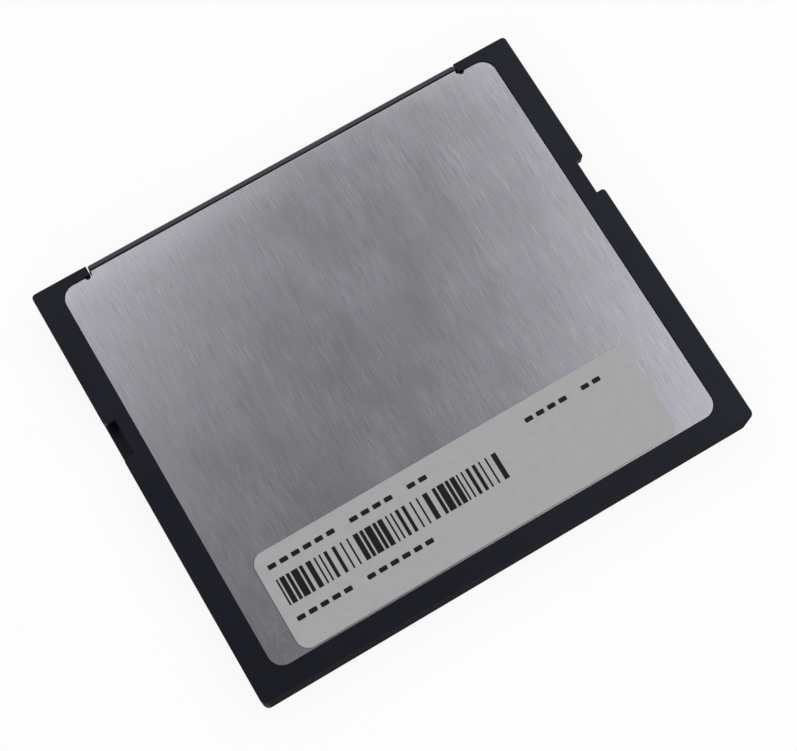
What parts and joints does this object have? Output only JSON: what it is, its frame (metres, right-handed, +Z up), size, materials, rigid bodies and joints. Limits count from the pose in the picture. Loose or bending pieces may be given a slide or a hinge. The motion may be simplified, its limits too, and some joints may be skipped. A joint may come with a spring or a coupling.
{
  "type": "memory card",
  "caption": "Flat rectangular flash memory card with stainless covers in a black frame, side guide grooves and a socket connector along one edge.",
  "frame": {"origin": "middle of the card's footprint, on the face that it rests on", "axes": "+Z up, out of the rear face with the sticker; +Y along the short sides, towards the connector edge; +X along the connector edge"},
  "size_m": [0.0428, 0.0364, 0.0033],
  "materials": {
    "frame_plastic": "fine matt moulded plastic, near black with a slight blue cast",
    "stainless_plate": "stainless sheet, fine brushing along the card's length, light scratches",
    "connector_plastic": "dark grey heat-resistant moulded plastic",
    "contact_bronze": "spring bronze, gold-flashed",
    "board_laminate": "green glass-epoxy laminate under solder mask",
    "chip_package": "black moulded epoxy",
    "tinned_lead": "tinned copper, satin",
    "oscillator_ceramic": "dark brown fired ceramic",
    "oscillator_lid": "bright plated lid",
    "capacitor_ceramic": "tan fired ceramic",
    "resistor_ceramic": "dark glazed ceramic",
    "sticker_film": "off-white printed film, satin"
  },
  "bodies": {
    "root": {"rear_frame_half": "frame_plastic", "front_frame_half": "frame_plastic", "rear_cover_plate": "stainless_plate", "front_cover_plate": "stainless_plate", "connector_housing": "connector_plastic", "upper_row_contacts": "contact_bronze", "lower_row_contacts": "contact_bronze", "circuit_board": "board_laminate", "left_flash_chip": "chip_package", "right_flash_chip": "chip_package", "controller_chip": "chip_package", "voltage_regulator": "chip_package", "left_flash_leads": "tinned_lead", "right_flash_leads": "tinned_lead", "controller_leads": "tinned_lead", "regulator_leads": "tinned_lead", "clock_oscillator": "oscillator_ceramic", "oscillator_lid": "oscillator_lid", "bulk_capacitor": "capacitor_ceramic", "filter_capacitors": "capacitor_ceramic", "bulk_capacitor_ends": "tinned_lead", "filter_capacitor_ends": "tinned_lead", "resistor_ends": "tinned_lead", "resistors": "resistor_ceramic", "rear_sticker": "sticker_film"}
  },
  "joints": []
}
